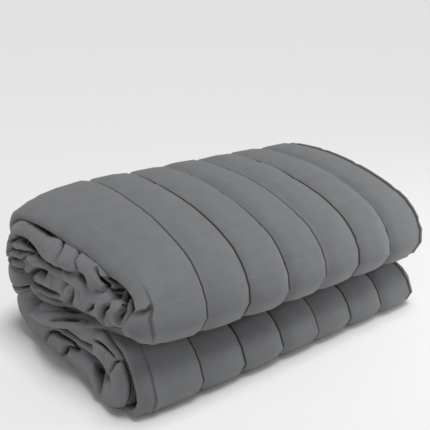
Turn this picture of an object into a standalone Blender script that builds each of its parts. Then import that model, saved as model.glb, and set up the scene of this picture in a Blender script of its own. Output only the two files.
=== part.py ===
"""A quilted weighted blanket in a folded bundle, lying on a flat surface.

The cloth is one sheet. It is first folded in three along its length, so that
each thickness of the bundle is an outer shell, which shows its quilted face,
and an inner band, whose folded edge shows at the left end. The two sides of
that strip are then folded inwards as flaps, and the bundle is closed like a
book, with its spine at the back and the two flap folds one above the other at
the front.

The sheet is a grid. Its columns run across the three thicknesses, and its
rows run along the path that the bundle takes in side view. Metres, +Z up,
front at -Y. The origin is on the surface, under the middle of the bundle.
"""

import bpy
import numpy as np

SQUARE = 0.082  # side of a quilting square, laid flat
PITCH = 0.078  # between its seams along the bundle, drawn in by the filling
SQUARES_LONG = 7  # squares that show along the bundle, from the hem to the end fold

# The sizes and tables below are in pitches.
ROW_PITCH = SQUARE / PITCH  # between the seams along the path
HEM = 0.025 / PITCH  # width of the sewn hem
SEAM_PINCH = 0.55  # how much of its thickness the cloth loses along a quilting seam
CROWN_FLATNESS = 2.5  # how broad a square's crown is, from 2 up
HEM_THICKNESS = 0.40  # of the cloth's thickness, at the hem's outer edge
LAYER_GAP = 0.035  # between two thicknesses that lie together
DROOP_REACH = 0.95  # how far in from the hem line the end of the shell bends inwards
DROOP_ROUND = 0.96  # how much of a quarter turn that bend takes
LOOP_REACH = 0.70  # how far in from the band's folded edge its loop swells
LIFT_REACH = 2.50  # how far in from the hem line the lift and skew are spread
LIFT_EASE = 1.5  # how late they gather towards the left end
RIGHT_SINK = 0.03  # share of its height that the bundle loses towards its right end
END_FOLD_REACH = 0.20  # how far the end fold reaches past the last seam
END_FOLD_THICKNESS = 0.80  # of the cloth's thickness, round the end fold
ORIGIN_SHIFT = (3.210, 2.569, 0.0)  # from the tables' zero to the middle of the base
BASE_LIFT = 0.012  # how far the base is pressed flat into the surface

# One row for each place along the path, from the upper flap's end to the lower
# flap's end. shell_y, shell_z and band_y, band_z are the middles of the two
# layers in side view. shell and band are thicknesses, the band's of both its
# plies. The rest shape the left end: lift and skew are how far both layers move
# up and back towards it, hem how far the hem line lies left of zero, droop how
# far the shell's end bends inwards, end where the band's folded edge reaches,
# left of zero, loop that edge's height, and swing how far it lies outside the band.
PATH_COLUMNS = (
    "shell_y", "shell_z", "shell", "band_y", "band_z", "band",
    "lift", "skew", "hem", "droop", "end", "loop", "swing",
)
PATH = {
    "upper flap end": (3.84, 0.84, 0.20, 3.78, 1.50, 0.56, 0.05, 0.16, 0.10, 0.00, 0.68, 0.66, 0.00),
    "upper flap back": (2.90, 1.06, 0.20, 3.00, 1.53, 0.60, 0.14, 0.06, 0.08, 0.00, 0.68, 0.70, 0.00),
    "upper flap middle": (2.05, 1.15, 0.20, 2.10, 1.58, 0.58, 0.22, 0.00, -0.06, 0.00, 0.64, 0.58, 0.03),
    "upper flap front": (1.10, 1.18, 0.20, 1.36, 1.58, 0.50, 0.20, 0.00, -0.16, 0.00, 0.56, 0.52, 0.00),
    "upper fold underside": (0.37, 1.27, 0.22, 0.86, 1.69, 0.42, 0.12, 0.00, 0.00, 0.06, 0.48, 0.36, 0.00),
    "upper fold nose": (-0.02, 1.74, 0.25, 0.62, 1.98, 0.36, 0.06, 0.00, 0.12, 0.16, 0.44, 0.36, 0.03),
    "front seam": (0.13, 2.23, 0.25, 0.86, 2.25, 0.42, 0.02, 0.00, 0.00, 0.22, 0.46, 0.40, -0.02),
    "brow": (0.50, 2.58, 0.26, 1.30, 2.33, 0.50, 0.00, 0.00, -0.05, 0.26, 0.54, 0.46, -0.04),
    "top front": (1.15, 2.86, 0.27, 1.80, 2.38, 0.58, 0.00, 0.00, -0.05, 0.32, 0.62, 0.54, -0.06),
    "top middle": (2.10, 3.08, 0.28, 2.50, 2.42, 0.64, 0.00, 0.00, 0.01, 0.42, 0.68, 0.62, -0.04),
    "top back": (3.25, 3.17, 0.28, 3.25, 2.42, 0.66, 0.00, 0.00, 0.08, 0.50, 0.76, 0.66, -0.04),
    "spine shoulder": (4.36, 3.07, 0.26, 3.94, 2.36, 0.64, 0.00, 0.00, 0.20, 0.40, 0.84, 0.68, 0.00),
    "spine top": (4.98, 2.54, 0.25, 4.42, 2.02, 0.60, 0.00, 0.00, 0.28, 0.18, 0.88, 0.66, 0.00),
    "spine middle": (5.16, 1.78, 0.24, 4.60, 1.56, 0.56, 0.00, 0.00, 0.30, 0.12, 0.90, 0.68, -0.02),
    "spine lower": (5.08, 1.00, 0.22, 4.50, 1.04, 0.48, 0.00, 0.00, 0.28, 0.10, 0.88, 0.60, -0.02),
    "spine foot": (4.62, 0.37, 0.19, 4.15, 0.60, 0.38, 0.00, 0.00, 0.24, 0.04, 0.80, 0.48, 0.00),
    "base back": (3.68, 0.10, 0.18, 3.48, 0.39, 0.29, 0.00, 0.00, 0.24, 0.00, 0.76, 0.42, -0.05),
    "base middle": (2.30, 0.09, 0.18, 2.30, 0.35, 0.27, 0.00, 0.00, 0.26, 0.00, 0.74, 0.42, -0.07),
    "base front": (0.98, 0.09, 0.18, 1.22, 0.34, 0.25, 0.00, 0.00, 0.22, 0.00, 0.66, 0.46, -0.11),
    "lower fold foot": (0.25, 0.11, 0.18, 0.82, 0.36, 0.21, 0.01, 0.00, 0.18, 0.02, 0.56, 0.34, -0.06),
    "lower fold nose": (0.07, 0.40, 0.19, 0.60, 0.53, 0.20, 0.08, 0.00, 0.14, 0.06, 0.50, 0.28, -0.03),
    "lower fold brow": (0.45, 0.86, 0.19, 0.86, 0.70, 0.21, 0.26, 0.00, 0.12, 0.06, 0.54, 0.30, 0.00),
    "lower flap front": (1.15, 0.95, 0.18, 1.38, 0.71, 0.24, 0.28, 0.00, 0.04, 0.00, 0.60, 0.30, -0.02),
    "lower flap end": (2.78, 0.90, 0.18, 2.84, 0.65, 0.24, 0.10, 0.16, 0.00, 0.00, 0.60, 0.24, 0.01),
}

# Where the grid's lines fall inside a square: on its seams, and either side of its crown.
LINES_IN_SQUARE = (0.0, 0.28, 0.72)
FOLD_LINES_IN_SQUARE = (0.0, 0.22, 0.5, 0.78)
FOLDED_SQUARES = (2, 3, 15)  # squares along the path that go round a flap fold
PATH_STEPS = 1200  # short steps in which the path's length is measured

# Where the grid's lines fall in the other layers: degrees round a fold, and places along a ply.
END_FOLD_ANGLES = (45.0, 90.0, 135.0)
OUTER_PLY_PLACES = (6.95, 5.3, 3.6, 1.9, 0.75, 0.15)
BAND_EDGE_ANGLES = (0.0, 40.0, 90.0, 140.0, 180.0)
INNER_PLY_PLACES = (0.15, 0.75, 2.2, 4.5, 6.7)


def smooth_step(value):
    value = np.clip(value, 0.0, 1.0)
    return value * value * (3.0 - 2.0 * value)


def catmull_rom(table, at):
    """The table's rows as one smooth curve, read at a fractional row number."""
    last = len(table) - 1
    row = np.clip(np.floor(at).astype(int), 0, last - 1)
    part = (at - row)[:, None]
    before = table[np.maximum(row - 1, 0)]
    start = table[row]
    end = table[row + 1]
    after = table[np.minimum(row + 2, last)]
    return 0.5 * (
        2.0 * start
        + (end - before) * part
        + (2.0 * before - 5.0 * start + 4.0 * end - after) * part**2
        + (3.0 * start - before - 3.0 * end + after) * part**3
    )


def square_lines(count, pitch, folded=()):
    """Grid lines of a hem and count squares: (distance, thickness)."""
    lines = [(0.0, HEM_THICKNESS)]
    for square in range(count):
        inside = FOLD_LINES_IN_SQUARE if square in folded else LINES_IN_SQUARE
        for part in inside:
            lines.append((HEM + (square + part) * pitch, crown(part)))
    lines.append((HEM + count * pitch, crown(0.0)))
    return lines


def crown(part):
    """Thickness at a fraction of a square, from its seam to its crown."""
    loft = 1.0 - abs(2.0 * part - 1.0) ** CROWN_FLATNESS
    return 1.0 - SEAM_PINCH * (1.0 - loft)


def path_rows():
    """The grid's rows: the path's columns at each row, and the row's thickness."""
    table = np.array(list(PATH.values()))
    fine = np.linspace(0.0, len(table) - 1.0, PATH_STEPS)
    shell = catmull_rom(table, fine)[:, :2]
    steps = np.linalg.norm(np.diff(shell, axis=0), axis=1)
    travelled = np.concatenate([[0.0], np.cumsum(steps)])
    squares = int(round((travelled[-1] - 2.0 * HEM) / ROW_PITCH))
    lines = square_lines(squares, ROW_PITCH, FOLDED_SQUARES)
    lines.append((lines[-1][0] + HEM, HEM_THICKNESS))
    distance = np.array([line[0] for line in lines]) * travelled[-1] / lines[-1][0]
    lofts = np.array([line[1] for line in lines])
    rows = catmull_rom(table, np.interp(distance, travelled, fine))
    return rows, lofts


def outward(path):
    """Unit vectors square to a path in side view, on its outer side."""
    along = np.gradient(path, axis=0)
    along /= np.linalg.norm(along, axis=1)[:, None]
    return np.stack([-along[:, 1], along[:, 0]], axis=1)


def sheet_columns():
    """The grid's columns: (place along the bundle, layer, angle round a fold, thickness).

    The end fold, on the right, joins the shell to the band's outer ply, and the
    band's edge, on the left, joins its two plies. The angle is None away from both.
    """
    shell_lines = square_lines(SQUARES_LONG, 1.0)
    columns = [(distance - HEM, "shell", None, loft) for distance, loft in shell_lines]
    columns += [(SQUARES_LONG, "end fold", angle, END_FOLD_THICKNESS) for angle in END_FOLD_ANGLES]
    columns += [(place, "outer ply", None, 1.0) for place in OUTER_PLY_PLACES]
    columns += [(0.0, "band edge", angle, 1.0) for angle in BAND_EDGE_ANGLES]
    columns += [(place, "inner ply", None, 1.0) for place in INNER_PLY_PLACES]
    return columns


def settled(middle, place, lift, skew):
    """A layer's points in side view, moved up and back towards the left end, and sunk towards the right."""
    near_left = np.clip((LIFT_REACH - place) / (LIFT_REACH + HEM), 0.0, 1.0) ** LIFT_EASE
    near_right = np.clip(place / SQUARES_LONG, 0.0, 1.0)
    height = (middle[:, 1] + lift * near_left) * (1.0 - RIGHT_SINK * near_right)
    return np.stack([middle[:, 0] + skew * near_left, height], axis=1)


def sheet_grid():
    """Points of the sheet's middle surface, and its thickness at each of them."""
    rows, row_lofts = path_rows()
    value = {name: rows[:, index] for index, name in enumerate(PATH_COLUMNS)}
    shell = np.stack([value["shell_y"], value["shell_z"]], axis=1)
    band = np.stack([value["band_y"], value["band_z"]], axis=1)
    shell_out = outward(shell)
    band_out = outward(band)
    ply = value["band"] / 2.0 - LAYER_GAP / 2.0
    apart = (ply + LAYER_GAP) / 2.0
    loop = np.maximum(value["loop"] / 2.0 - ply / 2.0, apart)
    loop_centre = -value["end"] + ply / 2.0 + loop
    outer_ply = band + band_out * apart[:, None]
    end_reach = np.minimum(np.linalg.norm(shell - outer_ply, axis=1) / 2.0, END_FOLD_REACH)
    points = []
    thickness = []
    for place, layer, angle, loft in sheet_columns():
        turn = np.radians(angle or 0.0)
        across = np.full(len(rows), float(place))
        share = 1.0
        if layer == "shell":
            bent = max(0.0, (DROOP_REACH - place) / (DROOP_REACH + HEM))
            bend = 1.0 - np.sqrt(1.0 - DROOP_ROUND * bent**2)
            middle = shell - shell_out * (value["droop"] * bend)[:, None]
            across = across - value["hem"] * np.clip(1.0 - place, 0.0, 1.0)
            share = 0.0
        elif layer == "end fold":
            share = (1.0 - np.cos(turn)) / 2.0
            middle = shell * (1.0 - share) + outer_ply * share
            across = across + end_reach * np.sin(turn)
        elif layer == "band edge":
            side = loop * np.cos(turn) + value["swing"]
            middle = band + band_out * side[:, None]
            across = loop_centre - loop * np.sin(turn)
        else:
            swell = smooth_step((loop_centre + LOOP_REACH - place) / LOOP_REACH)
            side = (apart + (loop - apart) * swell) * (1.0 if layer == "outer ply" else -1.0)
            middle = band + band_out * (side + value["swing"] * swell)[:, None]
        points.append(np.column_stack([across, settled(middle, place, value["lift"], value["skew"])]))
        thickness.append((value["shell"] * (1.0 - share) + ply * share) * loft * row_lofts)
    return np.array(points), np.array(thickness)


def cloth_material():
    material = bpy.data.materials.new("blanket_cloth")
    material.use_nodes = True
    shader = material.node_tree.nodes["Principled BSDF"]
    shader.inputs["Base Color"].default_value = (0.19, 0.195, 0.20, 1.0)
    shader.inputs["Roughness"].default_value = 0.82
    shader.inputs["Metallic"].default_value = 0.0
    return material


def blanket():
    """The sheet as a bent grid, thickened along its normals and pressed flat below."""
    points, thickness = sheet_grid()
    columns, rows = thickness.shape
    bpy.ops.mesh.primitive_grid_add(x_subdivisions=columns - 1, y_subdivisions=rows - 1, size=1.0)
    sheet = bpy.context.object
    sheet.name = "sheet"
    thickest = float(thickness.max())
    loft = sheet.vertex_groups.new(name="loft")
    corners = np.array([vertex.co for vertex in sheet.data.vertices])
    column_of = np.rint((corners[:, 0] + 0.5) * (columns - 1)).astype(int)
    row_of = np.rint((corners[:, 1] + 0.5) * (rows - 1)).astype(int)
    for vertex, column, row in zip(sheet.data.vertices, column_of, row_of):
        vertex.co = (points[column, row] - ORIGIN_SHIFT) * PITCH
        loft.add([vertex.index], float(thickness[column, row]) / thickest, "REPLACE")
    shell = sheet.modifiers.new("thickness", "SOLIDIFY")
    shell.thickness = thickest * PITCH
    shell.offset = 0.0
    shell.vertex_group = "loft"
    shell.use_rim = True
    graph = bpy.context.evaluated_depsgraph_get()
    mesh = bpy.data.meshes.new_from_object(sheet.evaluated_get(graph))
    bpy.data.objects.remove(sheet)
    for vertex in mesh.vertices:
        vertex.co.z = max(vertex.co.z - BASE_LIFT * PITCH, 0.0)
    mesh.shade_smooth()
    mesh.materials.clear()
    mesh.materials.append(cloth_material())
    body = bpy.data.objects.new("blanket", mesh)
    part = bpy.data.collections.new("weighted_blanket")
    bpy.context.scene.collection.children.link(part)
    part.objects.link(body)
    return body


for old in list(bpy.data.objects):
    bpy.data.objects.remove(old)
blanket()
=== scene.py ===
"""Looks of the folded weighted blanket: its quilting, hems, sewing, creases and cloth.

The blanket is one sheet. Its shell keeps within 3 mm of its solid's path, with
finer lines and its quilted squares. Its left end is shaped further than
the solid's, with its creases and the corner of its hem. The tables are in pitches of
the quilting, and the meshes in metres, +Z up, front at -Y.
"""

import math

import bpy
import numpy as np
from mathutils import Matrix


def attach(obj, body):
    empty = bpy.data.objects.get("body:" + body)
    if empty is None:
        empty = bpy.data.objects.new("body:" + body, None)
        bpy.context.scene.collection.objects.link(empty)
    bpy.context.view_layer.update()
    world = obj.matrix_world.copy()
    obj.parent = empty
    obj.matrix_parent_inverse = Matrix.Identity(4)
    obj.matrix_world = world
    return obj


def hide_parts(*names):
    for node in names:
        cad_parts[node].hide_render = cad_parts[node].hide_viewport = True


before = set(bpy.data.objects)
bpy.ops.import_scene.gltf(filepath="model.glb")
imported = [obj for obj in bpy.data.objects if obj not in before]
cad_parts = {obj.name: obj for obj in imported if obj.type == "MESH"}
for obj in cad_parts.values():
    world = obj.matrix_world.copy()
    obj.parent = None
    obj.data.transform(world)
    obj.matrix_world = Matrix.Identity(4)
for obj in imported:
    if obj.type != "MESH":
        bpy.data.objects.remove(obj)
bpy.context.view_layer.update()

PITCH = 0.078  # metres between quilting seams along the bundle
SQUARE = 0.082  # metres, side of a quilting square, laid flat
HEM_WIDTH = 0.025  # metres
SQUARES_LONG = 7
ROW_PITCH = SQUARE / PITCH
HEM = HEM_WIDTH / PITCH
HEM_SQUARES = HEM_WIDTH / SQUARE

# In pitches, unless a comment says otherwise.
LAYER_GAP = 0.035  # between the band's two plies
DROOP_REACH = 0.95  # place, from the first seam, up to which the left end droops
DROOP_ROUND = 0.96  # how near its curve comes to a quarter circle, 1 for all of it
LOOP_REACH = 0.70  # distance over which the plies spread apart towards the turned edge
HEM_SHIFT_REACH = 0.40  # place up to which the cloth follows its hem's shift
EDGE_SQUARENESS = 0.72  # power of the turned edge's curve, 1 for an ellipse
LIFT_REACH = 2.50  # place up to which the left end's lift and skew reach
LIFT_EASE = 1.5  # power by which they fade
RIGHT_SINK = 0.03  # share by which the right end is lower
END_FOLD_REACH = 0.20  # how far the end fold bulges at most
ORIGIN_SHIFT = (3.210, 2.569, 0.0)  # the frame's origin in the tables' own places
BASE_LIFT = 0.012  # how far the lowest layer is pressed flat
FIRST_GROOVE = 1.3  # place about which the first groove's shift fades
FIRST_GROOVE_SHIFT = {3.5: 0.02, 5.0: 0.09, 9.0: 0.09, 11.0: 0.0}  # by squares along the path

# The sheet's path in named rows. shell_y, shell_z and shell are the shell's middle and
# thickness, and band_y, band_z and band those of the band's two plies together. At the
# left end, lift and skew are how far it rises and shifts back, hem how much further the
# hem reaches, droop how far the shell sinks inward, end how far the turned edge reaches
# past the first seam, loop its thickness, and swing its shift to the band's outer side.
PATH_COLUMNS = (
    "shell_y", "shell_z", "shell", "band_y", "band_z", "band",
    "lift", "skew", "hem", "droop", "end", "loop", "swing",
)
PATH = {
    "upper flap end": (3.84, 0.84, 0.20, 3.78, 1.32, 0.56, 0.05, 0.66, 0.36, -0.52, 0.66, 1.10, 0.04),
    "upper flap back": (2.90, 1.06, 0.20, 3.00, 1.44, 0.60, 0.16, 0.34, 0.54, -0.52, 0.68, 1.08, 0.00),
    "upper flap middle": (2.05, 1.15, 0.20, 2.10, 1.56, 0.58, 0.30, 0.10, 0.46, -0.40, 0.64, 1.00, -0.02),
    "upper flap front": (1.10, 1.18, 0.20, 1.36, 1.60, 0.50, 0.30, 0.00, 0.00, -0.08, 0.54, 0.82, 0.00),
    "upper fold underside": (0.37, 1.28, 0.22, 0.86, 1.69, 0.42, 0.18, 0.00, -0.22, 0.10, 0.42, 0.52, 0.00),
    "upper fold chin": (0.07, 1.50, 0.24, 0.70, 1.83, 0.38, 0.12, 0.00, -0.04, 0.18, 0.40, 0.46, 0.02),
    "upper fold nose": (-0.03, 1.80, 0.25, 0.62, 1.98, 0.36, 0.06, 0.00, 0.20, 0.24, 0.32, 0.40, 0.04),
    "upper fold cheek": (0.02, 2.02, 0.25, 0.72, 2.13, 0.39, 0.04, 0.00, 0.20, 0.24, 0.16, 0.36, 0.02),
    "front seam": (0.13, 2.23, 0.25, 0.86, 2.25, 0.42, 0.02, 0.00, -0.08, 0.16, 0.04, 0.34, 0.00),
    "brow": (0.50, 2.58, 0.26, 1.30, 2.30, 0.50, 0.00, 0.00, -0.18, 0.32, 0.50, 0.76, -0.08),
    "top front": (1.15, 2.86, 0.27, 1.80, 2.38, 0.58, 0.00, 0.00, -0.12, 0.54, 0.58, 0.76, -0.10),
    "top middle": (2.10, 3.08, 0.28, 2.50, 2.42, 0.64, 0.00, 0.00, 0.02, 0.58, 0.66, 0.90, -0.14),
    "top back": (3.25, 3.17, 0.28, 3.25, 2.42, 0.66, 0.00, 0.00, 0.12, 0.58, 0.74, 0.88, -0.16),
    "spine shoulder": (4.36, 3.07, 0.26, 3.94, 2.36, 0.64, 0.00, 0.00, 0.34, 0.48, 0.82, 0.94, -0.08),
    "spine top": (4.98, 2.54, 0.25, 4.42, 2.02, 0.60, 0.00, 0.00, 0.34, 0.36, 0.86, 1.04, -0.04),
    "spine middle": (5.16, 1.78, 0.24, 4.60, 1.56, 0.56, 0.00, 0.00, 0.24, 0.26, 0.88, 1.14, -0.06),
    "spine lower": (5.08, 1.00, 0.22, 4.50, 1.04, 0.48, 0.00, 0.00, 0.14, 0.24, 0.86, 1.12, -0.06),
    "spine foot": (4.62, 0.37, 0.19, 4.15, 0.60, 0.38, 0.00, 0.00, 0.02, 0.14, 0.80, 0.98, -0.04),
    "base back": (3.68, 0.10, 0.18, 3.48, 0.39, 0.29, 0.00, 0.00, -0.02, 0.00, 0.74, 0.78, -0.06),
    "base middle": (2.30, 0.09, 0.18, 2.30, 0.35, 0.27, 0.00, 0.00, -0.04, 0.00, 0.70, 0.78, -0.10),
    "base front": (0.98, 0.09, 0.18, 1.20, 0.34, 0.25, 0.00, 0.00, 0.04, 0.00, 0.66, 0.74, 0.00),
    "lower fold foot": (0.25, 0.11, 0.18, 0.80, 0.36, 0.21, 0.00, 0.00, 0.10, 0.04, 0.60, 0.64, 0.06),
    "lower fold nose": (0.07, 0.40, 0.19, 0.60, 0.53, 0.20, 0.06, 0.00, 0.02, 0.10, 0.54, 0.56, 0.08),
    "lower fold brow": (0.45, 0.86, 0.19, 0.86, 0.70, 0.21, 0.28, 0.00, 0.00, 0.12, 0.54, 0.54, 0.04),
    "lower flap front": (1.15, 0.95, 0.18, 1.38, 0.71, 0.24, 0.40, 0.00, 0.04, 0.04, 0.60, 0.64, 0.06),
    "lower flap end": (2.78, 0.90, 0.18, 2.84, 0.65, 0.24, 0.12, 0.90, 0.00, 0.00, 0.68, 0.54, 0.00),
}

# How far each seam across the path lies from its even place, in pitches.
SEAM_SHIFT = {
    0: 0.0, 3: 0.0, 4: 0.18, 5: 0.10, 6: 0.34, 7: 0.42, 8: 0.42, 9: 0.38, 10: 0.28, 11: 0.18,
    12: 0.08, 13: 0.0, 15: 0.04, 16: 0.06, 17: 0.04, 18: 0.0,
}

PATH_SAMPLES = 4000  # points that the path is measured at

# Grid lines inside a square, closest together at its seams.
COLUMN_LINES = (0.0, 0.010, 0.026, 0.055, 0.11, 0.20, 0.33, 0.50, 0.67, 0.80, 0.89, 0.945, 0.974, 0.990)
ROW_LINES = (0.0, 0.035, 0.10, 0.20, 0.33, 0.48, 0.62, 0.75, 0.86, 0.95)
ROW_PARTS = 3  # finer rows on the band's turned edge, for each of the other rows
HIDDEN_LINES = (0.0, 0.06, 0.25, 0.5, 0.75, 0.94)
HEM_LINES = (0.0, 0.02, 0.06, 0.14, 0.28, 0.46, 0.62, 0.75, 0.84, 0.90, 0.94, 0.97)
FINE_FROM = 13.6  # squares across the cloth, between which the rows are fine
FINE_TO = 16.3
END_FOLD_STEPS = 12
BAND_EDGE_STEPS = 56
BAND_SEAM = 0.97  # place of the band's first seam from the left end
INNER_PLY_PLACES = (0.04, 0.10, 0.18, 0.30, 0.45, 0.62, 0.85, 1.3, 2.2, 3.4, 4.8, 6.0, 6.7)
HIDDEN_SIDE_STRIDE = 3  # the sheet's hidden side takes every third of its columns
HIDDEN_ROW_STRIDE = 2  # and every other one of its stops
CLOSEST_LINES = 0.01  # squares, least step left before the turned edge's first line

COLUMN_PINCH = 0.12  # thickness left at a seam that runs round the bundle
ROW_PINCH = 0.82  # thickness left at a seam that runs along the bundle
DEEP_ROW_PINCH = {3: 0.66, 4: 0.62, 15: 0.60, 16: 0.62}
EDGE_ROW_PINCH = 0.92  # the same on the band's turned edge
DEEP_EDGE_PINCH = {3: 0.85, 5: 0.80, 10: 0.55, 11: 0.40, 12: 0.40, 13: 0.45, 14: 0.60, 16: 0.60}
HEM_SEAM_REACH = 0.12  # share of the hem's width that its seam dips over, to each side
HEM_SEAM_DIP = 0.10  # share of the thickness that the hem's seam takes off
HEM_EDGE = 0.30  # thickness left at the hem's folded edge
HEM_PINCH = 0.86  # thickness left in the hem and where it meets the squares
END_FOLD_LOFT = 0.80  # thickness left in the end fold

# Flatness and steepness of a puff between its seams.
HEM_PUFF = (2.6, 0.5)
COLUMN_PUFF = (5.5, 0.58)
ROW_PUFF = (9.0, 0.6)
EDGE_PUFF = (4.0, 0.6)

# Unevenness of the cloth: height in pitches, lumps to a square across and along,
# the noise's start across and along, and its seed.
SHELL_LUMPS = (0.016, 1.9, 1.7, 5.0, 3.0, 11)
EDGE_WRINKLES = (0.060, 2.1, 1.3, 1.0, 9.0, 12)
FINE_WRINKLES = (0.034, 4.6, 2.6, 2.0, 4.0, 13)
EDGE_BLEND = 0.8  # squares over which the shell's look gives way to the turned edge's
NOISE_CELLS = 97  # cells to a side before the noise repeats

STITCH_PITCH = 0.0039  # metres from one stitch to the next
STITCH_LENGTH = 0.0030
STITCH_RADIUS = 0.00060
STITCH_LIFT = 0.00012
STITCH_MARKS = (-0.5, -0.28, 0.28, 0.5)  # a stitch's tips and shoulders, in its lengths
STITCH_SIDES = 4
LINE_SAMPLES = 900  # points that a sewn line is measured at
HEM_STITCH = 0.94  # share of the hem's width, from its folded edge
FIRST_SEEN_ROW = 3  # seam across the path, before which the shell's squares are hidden
HIDDEN_STITCH_END = 0.5  # square at which the stitches of a hidden seam or a hem's end stop
EDGE_STITCH_START = 0.3  # squares that the turned edge's stitches start early

# Creases: depth and half width in pitches, and the places that each passes, as
# squares across the cloth from its first seam and squares along its path. The places
# were marked in the photo, read in squares by a ray cast and rounded.
CREASES = {
    "tube underside": (
        0.20, 0.11,
        ((15.36, 9.3), (15.43, 8.1), (15.53, 7.3), (15.62, 6.65), (15.52, 5.8), (15.45, 5.3)),
    ),
    "tube underside front": (0.20, 0.10, ((15.45, 5.4), (15.44, 5.1), (15.52, 4.9), (15.63, 4.65))),
    "stack top": (0.14, 0.07, ((15.28, 9.3), (15.38, 8.85), (15.45, 8.2))),
    "stack middle": (0.20, 0.08, ((15.38, 9.55), (15.50, 8.95), (15.58, 8.55), (15.60, 7.9), (15.56, 7.4))),
    "stack low": (0.20, 0.08, ((15.40, 9.8), (15.60, 9.3), (15.75, 8.65), (15.68, 7.9))),
    "spine upper": (0.18, 0.08, ((15.25, 9.8), (15.49, 9.8), (15.75, 9.8), (15.95, 9.7))),
    "spine lower": (0.18, 0.08, ((15.30, 10.6), (15.52, 10.75), (15.82, 10.85), (16.0, 10.85))),
    "bunch": (0.20, 0.09, ((15.40, -0.2), (15.52, 0.1), (15.64, 0.5), (15.52, 0.8))),
    "bunch middle": (0.16, 0.06, ((15.48, 0.0), (15.42, 0.35), (15.41, 0.8), (15.36, 1.2))),
    "bunch foot": (0.22, 0.10, ((15.30, 0.3), (15.26, 0.8), (15.20, 1.3), (15.18, 1.6))),
    "upright": (0.16, 0.07, ((15.00, 6.3), (15.20, 6.05), (15.34, 5.95), (15.50, 5.9))),
    "hook": (0.15, 0.06, ((14.95, 5.7), (15.12, 5.5), (15.30, 5.4), (15.40, 5.2))),
    "folded edge": (0.20, 0.07, ((15.08, 4.9), (15.25, 4.65), (15.41, 4.45), (15.52, 4.4), (15.68, 4.05))),
    "hollow": (0.46, 0.30, ((15.05, 4.40), (15.22, 4.25), (15.32, 4.0), (15.26, 3.75))),
    "hollow floor": (0.18, 0.16, ((15.50, 4.32), (15.60, 4.2), (15.56, 3.9), (15.46, 3.75), (15.30, 3.7))),
    "gap by the hem": (0.34, 0.13, ((15.42, 3.75), (15.43, 3.6), (15.37, 3.45), (15.20, 3.3))),
    "inner fold": (0.20, 0.08, ((15.50, 4.65), (15.61, 4.45), (15.75, 4.25), (15.85, 4.05))),
    "front groove": (0.26, 0.09, ((15.72, 3.1), (15.55, 2.9), (15.42, 2.8), (15.22, 2.7))),
    "notch": (0.14, 0.06, ((15.25, 2.0), (15.43, 2.3), (15.52, 2.6))),
    "lump top": (0.20, 0.08, ((15.48, 1.3), (15.58, 1.45), (15.70, 1.8), (15.80, 2.1))),
    "lump side": (0.18, 0.08, ((15.55, 1.75), (15.44, 1.6), (15.28, 1.4), (15.12, 1.3))),
    "flap underside": (0.10, 0.06, ((-0.28, 1.0), (-0.24, 1.4), (-0.22, 1.7), (-0.27, 2.0))),
    "flap underside back": (0.10, 0.06, ((-0.06, 0.7), (-0.13, 1.1), (-0.12, 1.5))),
    "lower tube": (0.20, 0.10, ((15.45, 19.0), (15.52, 18.7), (15.57, 18.4), (15.60, 18.0), (15.52, 17.6))),
    "lower tube side": (0.14, 0.06, ((15.40, 17.6), (15.32, 17.3), (15.24, 17.0), (15.18, 16.8))),
    "base tuck": (0.20, 0.08, ((15.35, 12.9), (15.54, 13.15), (15.70, 13.5), (15.88, 13.8))),
    "base run": (0.16, 0.06, ((15.60, 13.3), (15.68, 13.7), (15.76, 14.15), (15.70, 14.5))),
    "base fold": (0.20, 0.08, ((15.20, 13.6), (15.38, 13.8), (15.58, 14.1), (15.78, 14.5))),
    "base pocket": (0.50, 0.16, ((15.90, 15.2), (15.72, 15.4), (15.60, 15.6), (15.45, 15.7))),
    "end seam": (0.14, 0.06, ((15.66, 16.6), (15.50, 16.73), (15.20, 16.75), (14.98, 16.7))),
    "end side": (0.26, 0.10, ((15.04, 16.7), (15.07, 16.4), (15.10, 16.2), (15.25, 16.0))),
    "shoulder wrinkle": (0.022, 0.05, ((0.05, 7.8), (-0.06, 7.5), (-0.16, 7.2), (-0.24, 7.0))),
    "back wrinkle": (0.022, 0.05, ((0.04, 8.0), (-0.05, 7.8), (-0.15, 7.6))),
    "arc wrinkle": (0.020, 0.05, ((0.16, 6.1), (0.00, 6.0), (-0.10, 5.85), (-0.16, 5.6))),
    "hem seam": (0.050, 0.070, ((-0.02, 4.7), (-0.02, 4.0), (-0.02, 3.1))),
    "hem crossing": (0.050, 0.065, ((-0.36, 4.0), (-0.15, 4.0), (0.05, 4.0))),
    "lower hem seam": (0.050, 0.070, ((-0.02, 17.5), (-0.02, 16.0), (-0.02, 14.8))),
}

CREASE_FADE = 0.4  # power by which a crease fades towards its two ends
CREASE_FLANK = 1.5  # power of its flanks' fall
# A crease as deep as this takes the full painted shade.
DARK_DEPTH = 0.08  # pitches, depth from which a crease is fully dark

CLOTH_GREY = (0.180, 0.184, 0.190)
THREAD_GREY = (0.340, 0.345, 0.352)
FLOOR_WHITE = (0.86, 0.86, 0.86)
WEAVE_SCALE = 36.0  # scale of the weave's waves on the quilt's map

# Painted shade in the seams' grooves, and a lighter line along the row seams: axis of
# the quilt's map, reach in squares, and the share of the cloth's own grey at the seam.
COLUMN_PAINTED_SHADE = (0, 0.034, 0.10)
ROW_SHADE = (1, 0.014, 1.10)
EDGE_ROW_PAINTED_SHADE = (1, 0.020, 0.76)
SEAM_CORE = 0.003  # squares to each side of a seam that take its full shade
# Painted shade darkens the creases towards their bottoms.
CREASE_PAINTED_SHADE = 0.08  # share of the grey at the bottom of a crease
CREASE_RANGE = (0.22, 0.66)  # share of a crease's depth over which it darkens

# The camera is fitted to the photo's seams.
CAMERA_PLACE = (-5.0985, -8.4538, 7.5776)  # pitches, in the tables' own places
CAMERA_LENS = 55.63  # millimetres, for a sensor of 36
CAMERA_SENSOR = 36.0
CAMERA_TILT = 69.42  # degrees up from straight down
CAMERA_HEADING = -36.88  # degrees about +Z

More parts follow.
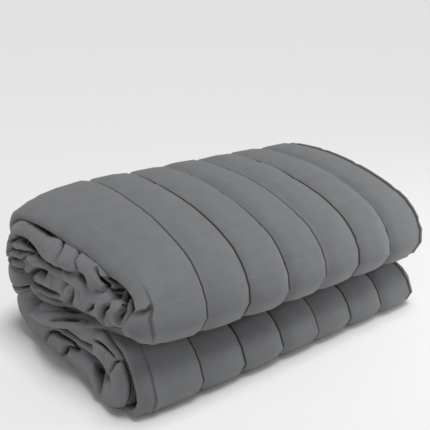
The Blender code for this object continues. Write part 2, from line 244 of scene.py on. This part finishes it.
WORLD_STRENGTH = 0.22
OVERHEAD_SUN = {"aim": (-0.10, 0.12, -1.0), "angle": 30.0, "strength": 2.20}
KEY_LIGHT = {"place": (0.92, -0.80, 0.40), "aim": (0.26, 0.0, 0.08), "side": 0.6, "power": 4.2}
FILL_LIGHT = {"place": (-2.2, 0.2, 0.9), "aim": (0.0, 0.0, 0.1), "side": 1.2, "power": 6.2}
FLOOR_SIDE = 80.0


# --- numbers ---------------------------------------------------------------


def smooth_step(value):
    value = np.clip(value, 0.0, 1.0)
    return value * value * (3.0 - 2.0 * value)


def catmull_rom(table, at):
    """The table's rows, read between them on a smooth curve."""
    last = len(table) - 1
    row = np.clip(np.floor(at).astype(int), 0, last - 1)
    part = (at - row)[:, None]
    before = table[np.maximum(row - 1, 0)]
    start = table[row]
    end = table[row + 1]
    after = table[np.minimum(row + 2, last)]
    return 0.5 * (
        2.0 * start
        + (end - before) * part
        + (2.0 * before - 5.0 * start + 4.0 * end - after) * part**2
        + (3.0 * start - before - 3.0 * end + after) * part**3
    )


def outward(path):
    """Unit directions to the outer side of a path of y and z."""
    along = np.gradient(path, axis=0)
    along /= np.linalg.norm(along, axis=1)[:, None]
    return np.stack([-along[:, 1], along[:, 0]], axis=1)


def puff(part, pinch, flatness, steepness):
    """Thickness at a fraction of a square: pinch at its seams, 1 at its crown."""
    crown = np.clip(1.0 - np.abs(2.0 * part - 1.0) ** flatness, 0.0, 1.0) ** steepness
    return pinch + (1.0 - pinch) * crown


def noise(x, y, seed):
    """Smooth seeded noise from -1 to 1, with one lump to a unit."""
    random = np.random.default_rng(seed)
    lattice = random.uniform(-1.0, 1.0, (NOISE_CELLS, NOISE_CELLS))
    column = np.floor(x).astype(int)
    row = np.floor(y).astype(int)
    across = smooth_step(x - column)
    along = smooth_step(y - row)
    west = column % NOISE_CELLS
    east = (column + 1) % NOISE_CELLS
    south = row % NOISE_CELLS
    north = (row + 1) % NOISE_CELLS
    low = lattice[west, south] * (1.0 - across) + lattice[east, south] * across
    high = lattice[west, north] * (1.0 - across) + lattice[east, north] * across
    return low * (1.0 - along) + high * along


# --- the sheet's lines --------------------------------------------------------


class Rows:
    """The grid's rows, one for each line across the path."""

    def __init__(self):
        table = np.array(list(PATH.values()))
        fine = np.linspace(0.0, len(table) - 1.0, PATH_SAMPLES)
        shell = catmull_rom(table, fine)[:, :2]
        steps = np.linalg.norm(np.diff(shell, axis=0), axis=1)
        travelled = np.concatenate([[0.0], np.cumsum(steps)])
        self.squares = int(round((travelled[-1] - 2.0 * HEM) / ROW_PITCH))
        scale = travelled[-1] / (2.0 * HEM + self.squares * ROW_PITCH)
        seam = np.arange(self.squares + 1)
        seams = (HEM + seam * ROW_PITCH) * scale
        seams += np.interp(seam, list(SEAM_SHIFT), list(SEAM_SHIFT.values()))
        distance = self.lay(seams, travelled[-1])
        self.count = len(distance)
        at = np.interp(distance, travelled, fine)
        rows = catmull_rom(table, at)
        self.value = {name: rows[:, index] for index, name in enumerate(PATH_COLUMNS)}
        # Outward directions are read from an even path, and not from the uneven rows.
        self.shell_out = self.read(fine, outward(shell), at)
        self.band_out = self.read(fine, outward(catmull_rom(table, fine)[:, 3:5]), at)

    def lay(self, seams, length):
        """Each row's distance along the path, with its place in squares and the stops.

        The stops are the rows that the coarser columns take too.
        """
        distance = [share * seams[0] for share in HEM_LINES]
        quilt = [HEM_SQUARES * (share - 1.0) for share in HEM_LINES]
        self.stops = list(range(len(HEM_LINES)))
        for index in range(self.squares):
            for share, after in zip(ROW_LINES, ROW_LINES[1:] + (1.0,)):
                self.stops.append(len(distance))
                for part in range(ROW_PARTS):
                    fine_share = share + (after - share) * part / ROW_PARTS
                    distance.append(seams[index] + fine_share * (seams[index + 1] - seams[index]))
                    quilt.append(index + fine_share)
        self.stops += range(len(distance), len(distance) + len(HEM_LINES) + 1)
        distance.append(seams[-1])
        quilt.append(self.squares)
        for share in reversed(HEM_LINES):
            distance.append(length - share * (length - seams[-1]))
            quilt.append(self.squares + HEM_SQUARES * (1.0 - share))
        self.quilt = np.array(quilt)
        return distance

    @staticmethod
    def read(fine, directions, at):
        """Unit directions at the rows, from those at the path's even points."""
        found = np.stack([np.interp(at, fine, directions[:, axis]) for axis in (0, 1)], axis=1)
        return found / np.linalg.norm(found, axis=1)[:, None]


def sheet_columns():
    """The grid's columns: place along the bundle, layer, angle, and squares across the cloth."""
    columns = [(-HEM * (1.0 - share), "shell", 0.0, -HEM * (1.0 - share)) for share in HEM_LINES]
    for square in range(SQUARES_LONG):
        columns += [(square + share, "shell", 0.0, square + share) for share in COLUMN_LINES]
    columns.append((float(SQUARES_LONG), "shell", 0.0, float(SQUARES_LONG)))
    for step in range(1, END_FOLD_STEPS):
        share = step / END_FOLD_STEPS
        columns.append((float(SQUARES_LONG), "end fold", 180.0 * share, SQUARES_LONG + 0.5 * share))
    first_seam = BAND_SEAM + SQUARES_LONG - 1
    for share in HIDDEN_LINES[1:]:
        place = SQUARES_LONG - share * (SQUARES_LONG - first_seam)
        columns.append((place, "outer ply", 0.0, SQUARES_LONG + 0.5 + share / 2.0))
    quilt = SQUARES_LONG + 1
    for square in range(SQUARES_LONG - 1):
        seen = square == SQUARES_LONG - 2
        for share in COLUMN_LINES if seen else HIDDEN_LINES:
            columns.append((first_seam - square - share, "outer ply", 0.0, quilt + square + share))
    quilt += SQUARES_LONG - 1
    for share in COLUMN_LINES:
        if share < BAND_SEAM - CLOSEST_LINES:
            columns.append((BAND_SEAM - share, "outer ply", 0.0, quilt + share))
    quilt += BAND_SEAM
    for step in range(BAND_EDGE_STEPS + 1):
        share = step / BAND_EDGE_STEPS
        columns.append((0.0, "band edge", 180.0 * share, quilt + share))
    quilt += 1.0
    columns += [(place, "inner ply", 0.0, quilt + place) for place in INNER_PLY_PLACES]
    return columns


def lifted(middle, place, lift, skew):
    """The middle's points with the left end's lift and skew, and the right end's sink."""
    near_left = np.clip((LIFT_REACH - place) / (LIFT_REACH + HEM), 0.0, 1.0) ** LIFT_EASE
    near_right = np.clip(place / SQUARES_LONG, 0.0, 1.0)
    height = (middle[:, 1] + lift * near_left) * (1.0 - RIGHT_SINK * near_right)
    return np.stack([middle[:, 0] + skew * near_left, height], axis=1)


def sheet_middle(rows, columns):
    """Points of the sheet's middle surface, with its full thickness at each of them."""
    value = rows.value
    shell = np.stack([value["shell_y"], value["shell_z"]], axis=1)
    band = np.stack([value["band_y"], value["band_z"]], axis=1)
    ply = value["band"] / 2.0 - LAYER_GAP / 2.0
    apart = (ply + LAYER_GAP) / 2.0
    loop = np.maximum(value["loop"] / 2.0 - ply / 2.0, apart)
    loop_centre = -value["end"] + ply / 2.0 + loop
    outer_ply = band + rows.band_out * apart[:, None]
    end_reach = np.minimum(np.linalg.norm(shell - outer_ply, axis=1) / 2.0, END_FOLD_REACH)
    points = []
    thickness = []
    for place, layer, angle, _ in columns:
        turn = math.radians(angle)
        across = np.full(rows.count, place)
        share = 1.0
        if layer == "shell":
            bend = min(1.0, max(0.0, (DROOP_REACH - place) / (DROOP_REACH + HEM)))
            bend = 1.0 - math.sqrt(1.0 - DROOP_ROUND * bend * bend)
            middle = shell - rows.shell_out * (value["droop"] * bend)[:, None]
            near_hem = max(HEM_SHIFT_REACH - place, 0.0) / (HEM_SHIFT_REACH + HEM)
            across = across - value["hem"] * near_hem**2
            near_first = max(0.0, 1.0 - abs(place - FIRST_GROOVE) / FIRST_GROOVE)
            groove_shift = np.interp(rows.quilt, list(FIRST_GROOVE_SHIFT), list(FIRST_GROOVE_SHIFT.values()))
            across = across + near_first * groove_shift
            share = 0.0
        elif layer == "end fold":
            share = (1.0 - math.cos(turn)) / 2.0
            middle = shell * (1.0 - share) + outer_ply * share
            across = across + end_reach * math.sin(turn)
        elif layer == "band edge":
            side = loop * math.copysign(abs(math.cos(turn)) ** EDGE_SQUARENESS, math.cos(turn))
            middle = band + rows.band_out * (side + value["swing"])[:, None]
            across = loop_centre - loop * math.sin(turn) ** EDGE_SQUARENESS
        else:
            swell = smooth_step((loop_centre + LOOP_REACH - place) / LOOP_REACH)
            side = (apart + (loop - apart) * swell) * (1.0 if layer == "outer ply" else -1.0)
            middle = band + rows.band_out * (side + value["swing"] * swell)[:, None]
        points.append(np.column_stack([across, lifted(middle, place, value["lift"], value["skew"])]))
        thickness.append(value["shell"] * (1.0 - share) + ply * share)
    return np.array(points), np.array(thickness)


def grid_normals(points):
    """Unit normals of a grid of points, on the cloth's outer side."""
    across = np.gradient(points, axis=0)
    along = np.gradient(points, axis=1)
    normal = np.cross(along, across)
    return normal / np.maximum(np.linalg.norm(normal, axis=2), 1e-9)[:, :, None]


def cloth_loft(rows, columns):
    """Share of its thickness that the cloth has at each point of the grid."""
    loft = np.ones((len(columns), rows.count))
    for index, (place, layer, _, quilt) in enumerate(columns):
        if quilt < 0.0:
            loft[index] *= hem_loft(1.0 + quilt / HEM)
        elif layer == "end fold":
            loft[index] *= END_FOLD_LOFT
        elif layer == "shell" and place < 0.5:
            loft[index] *= puff(quilt, HEM_PINCH, *HEM_PUFF)
        elif layer != "inner ply":
            loft[index] *= puff(quilt % 1.0, COLUMN_PINCH, *COLUMN_PUFF)
    row_loft = puff(rows.quilt % 1.0, row_pinch(rows, ROW_PINCH, DEEP_ROW_PINCH), *ROW_PUFF)
    for hem_share in (1.0 + rows.quilt / HEM_SQUARES, 1.0 + (rows.squares - rows.quilt) / HEM_SQUARES):
        row_loft = np.where(hem_share < 1.0, hem_loft(np.clip(hem_share, 0.0, 1.0)), row_loft)
    edge_loft = puff(rows.quilt % 1.0, row_pinch(rows, EDGE_ROW_PINCH, DEEP_EDGE_PINCH), *EDGE_PUFF)
    edge_loft = np.minimum(row_loft, edge_loft)
    edge = edge_share(np.array([column[3] for column in columns]))[:, None]
    return loft * (row_loft[None, :] * (1.0 - edge) + edge_loft[None, :] * edge)


def row_pinch(rows, usual, deep):
    """Thickness left at the seam that is nearest to each row."""
    pinch = np.full(rows.squares + 1, usual)
    pinch[list(deep)] = list(deep.values())
    return pinch[np.clip(np.round(rows.quilt).astype(int), 0, rows.squares)]


def hem_loft(share):
    """Thickness over a hem, from its folded edge at 0 to its seam near 1."""
    share = np.asarray(share, dtype=float)
    rise = np.clip(1.0 - np.clip(1.0 - 2.0 * share, 0.0, 1.0) ** 4, 0.0, 1.0) ** 0.5
    dip = np.clip(1.0 - np.abs(share - HEM_STITCH) / HEM_SEAM_REACH, 0.0, 1.0)
    return HEM_EDGE + (HEM_PINCH - HEM_EDGE) * rise - HEM_SEAM_DIP * dip


def in_metres(points):
    """Points of the tables' own places in metres, none of them below the surface."""
    placed = (points - np.array(ORIGIN_SHIFT)) * PITCH
    placed[..., 2] = np.maximum(placed[..., 2] - BASE_LIFT * PITCH, 0.0)
    return placed


def grid_faces(fine, rows, stops):
    """A thick grid's faces and corners: its seen side, its coarser hidden side and its rim.

    Columns that are fine take every row, and the others take only the stops.
    """
    seen = np.full((len(fine), rows), -1)
    used = []
    for column, is_fine in enumerate(fine):
        for row in range(rows) if is_fine else stops:
            seen[column, row] = len(used)
            used.append((column, row))
    hidden_columns = strided(list(range(len(fine))), HIDDEN_SIDE_STRIDE)
    hidden_rows = strided(stops, HIDDEN_ROW_STRIDE)
    hidden = np.arange(len(hidden_columns) * len(hidden_rows)).reshape(len(hidden_columns), -1) + len(used)
    faces = []
    for column in range(len(fine) - 1):
        near = seen[column]
        far = seen[column + 1]
        marks = list(range(rows)) if fine[column] and fine[column + 1] else stops
        for low, high in zip(marks[:-1], marks[1:]):
            faces.append(used_corners(near[low : high + 1]) + used_corners(far[low : high + 1])[::-1])
    for column in range(len(hidden_columns) - 1):
        for row in range(len(hidden_rows) - 1):
            low = hidden[column : column + 2, row].tolist()
            high = hidden[column : column + 2, row + 1].tolist()
            faces.append(low + high[::-1])
    last = len(fine) - 1
    for seen_side, hidden_side, marks in (
        (seen[:, 0], hidden[:, 0], hidden_columns),
        (seen[::-1, -1], hidden[::-1, -1], [last - mark for mark in reversed(hidden_columns)]),
        (seen[0, ::-1], hidden[0, ::-1], [rows - 1 - mark for mark in reversed(hidden_rows)]),
        (seen[-1, :], hidden[-1, :], hidden_rows),
    ):
        for step in range(len(marks) - 1):
            edge = used_corners(seen_side[marks[step] : marks[step + 1] + 1])
            faces.append(edge + [int(hidden_side[step + 1]), int(hidden_side[step])])
    return faces, np.array(used), np.ix_(hidden_columns, hidden_rows)


def used_corners(line):
    """The corners that a stretch of the grid has, without the rows that it skips."""
    return line[line >= 0].tolist()


def strided(lines, stride):
    """Every so many of the grid's lines, with the last one."""
    return lines[:-1:stride] + [lines[-1]]


def mesh_object(name, points, faces, material):
    mesh = bpy.data.meshes.new(name)
    mesh.from_pydata(points.tolist(), [], faces)
    mesh.shade_smooth()
    mesh.materials.append(material)
    thing = bpy.data.objects.new(name, mesh)
    bpy.context.scene.collection.objects.link(thing)
    return thing


# --- materials ------------------------------------------------------------------


def linked(tree, kind, **settings):
    """A new node: settings named input0, input1 and so on go to its inputs, the rest to it."""
    node = tree.nodes.new(kind)
    for name, value in settings.items():
        target = node.inputs[int(name[5:])] if name.startswith("input") else None
        if target is None:
            setattr(node, name, value)
        elif isinstance(value, bpy.types.NodeSocket):
            tree.links.new(value, target)
        else:
            target.default_value = value
    return node


def joined(tree, operation, first, second=0.0):
    """The output of a Math node for two sockets or numbers."""
    return linked(tree, "ShaderNodeMath", operation=operation, input0=first, input1=second).outputs[0]


def ranged(tree, source, start, end, interpolation="LINEAR"):
    """The output of a Map Range node, with what goes in and comes out at its start and end."""
    node = linked(tree, "ShaderNodeMapRange", interpolation_type=interpolation, input0=source)
    for socket, value in zip((1, 3, 2, 4), (*start, *end)):
        node.inputs[socket].default_value = value
    return node.outputs[0]


def seam_shade(tree, parts, axis, reach, dark):
    """Tone by the distance to the nearest seam across one axis of the quilt's map: painted shade in the
    grooves, a lighter line along the row seams.
    """
    wrapped = joined(tree, "FRACT", joined(tree, "ADD", parts.outputs[axis], 0.5))
    gap = joined(tree, "ABSOLUTE", joined(tree, "SUBTRACT", wrapped, 0.5))
    return ranged(tree, gap, (SEAM_CORE, dark), (reach, 1.0), "SMOOTHSTEP")


def cloth_shade(tree, parts):
    """Painted shade of the cloth in its seams' grooves and in its creases, and a lighter line along its row
    seams.
    """
    # Painted shade in the grooves of the seams that run round the bundle, but none at the hem's own seam.
    by_hem = joined(tree, "LESS_THAN", parts.outputs[0], 0.5)
    groove = joined(tree, "MAXIMUM", seam_shade(tree, parts, *COLUMN_PAINTED_SHADE), by_hem)
    # Painted shade darkens the row seams on the band's turned edge.
    off_edge = joined(tree, "LESS_THAN", parts.outputs[0], 2.0 * SQUARES_LONG)
    edge_row_painted_shade = joined(tree, "MAXIMUM", off_edge, seam_shade(tree, parts, *EDGE_ROW_PAINTED_SHADE))
    rows_dark = joined(tree, "MULTIPLY", edge_row_painted_shade, seam_shade(tree, parts, *ROW_SHADE))
    seams = joined(tree, "MULTIPLY", groove, rows_dark)
    # Painted shade darkens the creases towards their bottoms.
    dip = linked(tree, "ShaderNodeAttribute", attribute_name="dip")
    low, high = CREASE_RANGE
    creases = ranged(tree, dip.outputs["Fac"], (low, 1.0), (high, CREASE_PAINTED_SHADE), "SMOOTHSTEP")
    return joined(tree, "MULTIPLY", seams, creases)


def mottled(tree, quilt, scale, detail, least, most):
    """A noise node and the tone that it makes, from least to most."""
    noise_node = linked(tree, "ShaderNodeTexNoise", input0=quilt.outputs[0])
    noise_node.inputs["Scale"].default_value = scale
    noise_node.inputs["Detail"].default_value = detail
    return noise_node, ranged(tree, noise_node.outputs[0], (0.3, least), (0.7, most))


def bumped(tree, height, strength, distance):
    """A Bump node for a height, with its distance in metres."""
    node = linked(tree, "ShaderNodeBump")
    node.inputs["Strength"].default_value = strength
    node.inputs["Distance"].default_value = distance
    tree.links.new(height, node.inputs["Height"])
    return node


def coloured(tree, shader, grey, tone):
    """Gives the shader a grey that is scaled by a tone."""
    colour = linked(tree, "ShaderNodeVectorMath", operation="SCALE", input0=grey)
    tree.links.new(tone, colour.inputs["Scale"])
    tree.links.new(colour.outputs[0], shader.inputs["Base Color"])


def shader_material(name, **values):
    """A new material, with its shader's sockets set to the values that are named after them."""
    material = bpy.data.materials.new(name)
    material.use_nodes = True
    shader = material.node_tree.nodes["Principled BSDF"]
    for socket, value in values.items():
        shader.inputs[socket.replace("_", " ")].default_value = value
    return material, material.node_tree, shader


def cloth_material():
    material, tree, shader = shader_material(
        "quilted_cloth", Roughness=0.80, Sheen_Weight=0.15, Sheen_Roughness=0.45, Specular_IOR_Level=0.25
    )
    quilt = linked(tree, "ShaderNodeUVMap", uv_map="quilt")
    parts = linked(tree, "ShaderNodeSeparateXYZ", input0=quilt.outputs[0])
    mottle, tone = mottled(tree, quilt, 3.0, 5.0, 0.94, 1.06)
    mottle.inputs["Roughness"].default_value = 0.6
    _, fleck = mottled(tree, quilt, 160.0, 2.0, 0.95, 1.05)
    tones = joined(tree, "MULTIPLY", tone, fleck)
    coloured(tree, shader, CLOTH_GREY, joined(tree, "MULTIPLY", tones, cloth_shade(tree, parts)))

    # Fine plain weave, and the soft unevenness of washed cloth.
    weaves = []
    for axis in ("X", "Y"):
        weave = linked(tree, "ShaderNodeTexWave", bands_direction=axis, input0=quilt.outputs[0])
        weave.inputs["Scale"].default_value = WEAVE_SCALE
        weave.inputs["Distortion"].default_value = 0.6
        weaves.append(weave.outputs["Fac"])
    soft = linked(tree, "ShaderNodeTexNoise", input0=quilt.outputs[0])
    soft.inputs["Scale"].default_value = 9.0
    soft.inputs["Detail"].default_value = 4.0
    rumple = bumped(tree, soft.outputs[0], 0.35, 0.0012)
    grain = bumped(tree, joined(tree, "MULTIPLY", *weaves), 0.25, 0.00012)
    tree.links.new(rumple.outputs[0], grain.inputs["Normal"])
    tree.links.new(grain.outputs[0], shader.inputs["Normal"])
    return material


def thread_material():
    material, tree, shader = shader_material("sewing_thread", Roughness=0.55, Sheen_Weight=0.10)
    twist = linked(tree, "ShaderNodeTexNoise")
    twist.inputs["Scale"].default_value = 900.0
    coloured(tree, shader, THREAD_GREY, ranged(tree, twist.outputs[0], (0.0, 0.8), (1.0, 1.2)))
    return material


def floor_material():
    return shader_material("pale_floor", Base_Color=(*FLOOR_WHITE, 1.0), Roughness=0.9)[0]


# --- pieces ---------------------------------------------------------------------


def quilt_map(mesh, across, along):
    """UV map that counts squares: across the cloth in u, along its path in v."""
    loops = np.empty(len(mesh.loops), dtype=np.int32)
    mesh.loops.foreach_get("vertex_index", loops)
    layer = mesh.uv_layers.new(name="quilt")
    layer.data.foreach_set("uv", np.stack([across[loops], along[loops]], axis=1).ravel())


def crease_line(places, wide, across, along):
    """How deep one crease is at each place, from 0 to 1 at its bottom."""
    line = np.array(places, dtype=float)
    runs = np.diff(line, axis=0)
    lengths = np.linalg.norm(runs, axis=1)
    travelled = 0.0
    found = np.zeros(across.shape)
    for start, run, length in zip(line[:-1], runs, lengths):
        share = ((across - start[0]) * run[0] + (along - start[1]) * run[1]) / length**2
        share = np.clip(share, 0.0, 1.0)
        gap = np.hypot(across - start[0] - share * run[0], along - start[1] - share * run[1])
        way = (travelled + share * length) / lengths.sum()
        fade = np.clip(4.0 * way * (1.0 - way), 0.0, 1.0) ** CREASE_FADE
        found = np.maximum(found, fade * np.clip(1.0 - gap / wide, 0.0, 1.0) ** CREASE_FLANK)
        travelled += length
    return found


def creased(middle, normal, across, along):
    """The sheet's middle with its creases pressed in from the seen side, and how dark their painted shade
    is.
    """
    depth = np.zeros(across.shape)
    dip = np.zeros(across.shape)
    for deep, wide, places in CREASES.values():
        found = crease_line(places, wide, across, along)
        depth += deep * found
        dip = np.maximum(dip, found * min(1.0, deep / DARK_DEPTH))
    return middle - normal * depth[:, :, None], dip


def edge_share(across):
    """How far a place belongs to the band's turned edge, from 0 to 1."""
    return smooth_step((across - 2.0 * SQUARES_LONG) / EDGE_BLEND)


def lumps(across, along, height, fine_across, fine_along, start_across, start_along, seed):
    return height * noise(across * fine_across + start_across, along * fine_along + start_along, seed)


def uneven(across, along):
    """How far the cloth's puffs stand above or below an even surface, in pitches."""
    edge = edge_share(across)
    wrinkles = lumps(across, along, *EDGE_WRINKLES) + lumps(across, along, *FINE_WRINKLES)
    return lumps(across, along, *SHELL_LUMPS) * (1.0 - edge) + wrinkles * edge


def blanket(material):
    """The sheet's piece, and its seen side for the stitches to lie on."""
    rows = Rows()
    columns = sheet_columns()
    quilt = np.array([column[3] for column in columns])
    across, along = np.meshgrid(quilt, rows.quilt, indexing="ij")
    middle, thickness = sheet_middle(rows, columns)
    normal = grid_normals(middle)
    middle = middle + normal * uneven(across, along)[:, :, None]
    normal = grid_normals(middle)
    middle, dip = creased(middle, normal, across, along)
    half = (thickness * cloth_loft(rows, columns) / 2.0)[:, :, None]
    outer = in_metres(middle + normal * half)
    inner = in_metres(middle - normal * half)
    fine = [FINE_FROM < place < FINE_TO for place in quilt]
    faces, used, kept = grid_faces(fine, rows.count, rows.stops)
    seen = (used[:, 0], used[:, 1])
    points = np.concatenate([outer[seen], inner[kept].reshape(-1, 3)])
    piece = mesh_object("blanket_cloth", points, faces, material)
    quilt_map(
        piece.data,
        np.concatenate([across[seen], across[kept].ravel()]),
        np.concatenate([along[seen], along[kept].ravel()]),
    )
    # The dip attribute carries the creases' painted shade.
    dips = piece.data.attributes.new("dip", "FLOAT", "POINT")
    dips.data.foreach_set("value", np.concatenate([dip[seen], dip[kept].ravel()]))
    return piece, Surface(outer, quilt, rows)


class Surface:
    """The sheet's seen side, read at squares across and squares along."""

    def __init__(self, points, quilt, rows):
        self.points = points
        self.normals = grid_normals(points)
        self.quilt = quilt
        self.rows = rows

    def read(self, across, along):
        """Points and normals at places in squares."""
        column = np.interp(across, self.quilt, np.arange(len(self.quilt)))
        row = np.interp(along, self.rows.quilt, np.arange(self.rows.count))
        west = np.minimum(column.astype(int), len(self.quilt) - 2)
        south = np.minimum(row.astype(int), self.rows.count - 2)
        right = (column - west)[:, None]
        up = (row - south)[:, None]
        found = []
        for grid in (self.points, self.normals):
            low = grid[west, south] * (1.0 - right) + grid[west + 1, south] * right
            high = grid[west, south + 1] * (1.0 - right) + grid[west + 1, south + 1] * right
            found.append(low * (1.0 - up) + high * up)
        return found


def stitched_lines(squares):
    """The sewn lines that show: squares across and along at the two ends of each."""
    first_across = HEM * (HEM_STITCH - 1.0)
    first_along = HEM_SQUARES * (HEM_STITCH - 1.0)
    edge_start = 2.0 * SQUARES_LONG
    edge_end = edge_start + BAND_SEAM + 1.0
    lines = [((first_across, first_along), (first_across, squares - first_along))]
    lines += [((seam, FIRST_SEEN_ROW), (seam, squares)) for seam in range(1, SQUARES_LONG + 1)]
    lines += [((seam, 0.0), (seam, squares)) for seam in (edge_start, edge_start + 1.0)]
    for seam in range(squares + 1):
        shell_end = SQUARES_LONG if seam >= FIRST_SEEN_ROW else HIDDEN_STITCH_END
        lines.append(((edge_start - EDGE_STITCH_START, seam), (edge_end, seam)))
        lines.append(((first_across, seam), (shell_end, seam)))
    for end in (first_along, squares - first_along):
        lines.append(((first_across, end), (HIDDEN_STITCH_END, end)))
        lines.append(((edge_start, end), (edge_end, end)))
    return lines


def stitch_mesh(spots, up, ring, base):
    """Points and faces of one stitch: a tip, a ring at each shoulder, and a tip."""
    side = np.cross(up, spots[3] - spots[0])
    side /= max(np.linalg.norm(side), 1e-9)
    points = [spots[0] - up * STITCH_LIFT]
    for spot in spots[1:3]:
        for across, above in ring:
            points.append(spot + (side * across + up * above) * STITCH_RADIUS + up * STITCH_LIFT)
    points.append(spots[3] - up * STITCH_LIFT)
    near = base + 1
    far = near + STITCH_SIDES
    last = far + STITCH_SIDES
    faces = []
    for corner in range(STITCH_SIDES):
        after = (corner + 1) % STITCH_SIDES
        faces.append((base, near + after, near + corner))
        faces.append((near + corner, near + after, far + after, far + corner))
        faces.append((last, far + corner, far + after))
    return points, faces


def stitches(surface, material):
    """All the stitches, as one joined mesh of short rounded dashes."""
    points = []
    faces = []
    turns = [2.0 * math.pi * (corner + 0.5) / STITCH_SIDES for corner in range(STITCH_SIDES)]
    ring = [(math.cos(turn), math.sin(turn)) for turn in turns]
    share = np.linspace(0.0, 1.0, LINE_SAMPLES)
    for start, end in stitched_lines(surface.rows.squares):
        across = start[0] + share * (end[0] - start[0])
        along = start[1] + share * (end[1] - start[1])
        line, normal = surface.read(across, along)
        steps = np.linalg.norm(np.diff(line, axis=0), axis=1)
        travelled = np.concatenate([[0.0], np.cumsum(steps)])
        for number in range(int(travelled[-1] / STITCH_PITCH)):
            middle = (number + 0.5) * STITCH_PITCH
            marks = middle + STITCH_LENGTH * np.array(STITCH_MARKS)
            spots = np.stack([np.interp(marks, travelled, line[:, axis]) for axis in range(3)], axis=1)
            up = np.array([np.interp(middle, travelled, normal[:, axis]) for axis in range(3)])
            up /= np.linalg.norm(up)
            stitch_points, stitch_faces = stitch_mesh(spots, up, ring, len(points))
            points += stitch_points
            faces += stitch_faces
    # No stitch reaches below the surface that the blanket lies on.
    points = np.array(points)
    points[:, 2] = np.maximum(points[:, 2], 0.0)
    return mesh_object("blanket_stitches", points, faces, material)


# --- the stage ------------------------------------------------------------------


def camera():
    data = bpy.data.cameras.new("camera")
    data.lens = CAMERA_LENS
    data.sensor_width = CAMERA_SENSOR
    thing = bpy.data.objects.new("camera", data)
    thing.location = in_metres(np.array(CAMERA_PLACE))
    thing.rotation_euler = (math.radians(CAMERA_TILT), 0.0, math.radians(CAMERA_HEADING))
    bpy.context.scene.collection.objects.link(thing)
    bpy.context.scene.camera = thing


def sun(name, aim, angle, strength):
    """A soft sun that shines along aim."""
    data = bpy.data.lights.new(name, "SUN")
    data.energy = strength
    data.angle = math.radians(angle)
    thing = bpy.data.objects.new(name, data)
    flat = math.hypot(aim[0], aim[1])
    thing.rotation_euler = (math.atan2(flat, -aim[2]), 0.0, math.atan2(-aim[0], aim[1]))
    bpy.context.scene.collection.objects.link(thing)


def area_light(name, place, aim, side, power):
    """A square soft light that shines at aim."""
    data = bpy.data.lights.new(name, "AREA")
    data.size = side
    data.energy = power
    thing = bpy.data.objects.new(name, data)
    thing.location = place
    back = np.array(place, dtype=float) - np.array(aim, dtype=float)
    flat = math.hypot(back[0], back[1])
    thing.rotation_euler = (math.atan2(flat, back[2]), 0.0, math.atan2(back[0], -back[1]))
    bpy.context.scene.collection.objects.link(thing)


def studio():
    bpy.ops.mesh.primitive_plane_add(size=FLOOR_SIDE, location=(0.0, 0.0, 0.0))
    floor = bpy.context.object
    floor.name = "floor"
    floor.data.materials.append(floor_material())
    world = bpy.data.worlds.new("studio")
    world.use_nodes = True
    background = world.node_tree.nodes["Background"]
    background.inputs["Color"].default_value = (1.0, 1.0, 1.0, 1.0)
    background.inputs["Strength"].default_value = WORLD_STRENGTH
    bpy.context.scene.world = world
    sun("overhead", **OVERHEAD_SUN)
    area_light("key", **KEY_LIGHT)
    area_light("fill", **FILL_LIGHT)
    bpy.context.scene.view_settings.view_transform = "Standard"


camera()
studio()
cloth = cloth_material()
blanket_piece, seen_side = blanket(cloth)
stitching = stitches(seen_side, thread_material())
for piece in (blanket_piece, stitching):
    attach(piece, "root")
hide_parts("blanket")
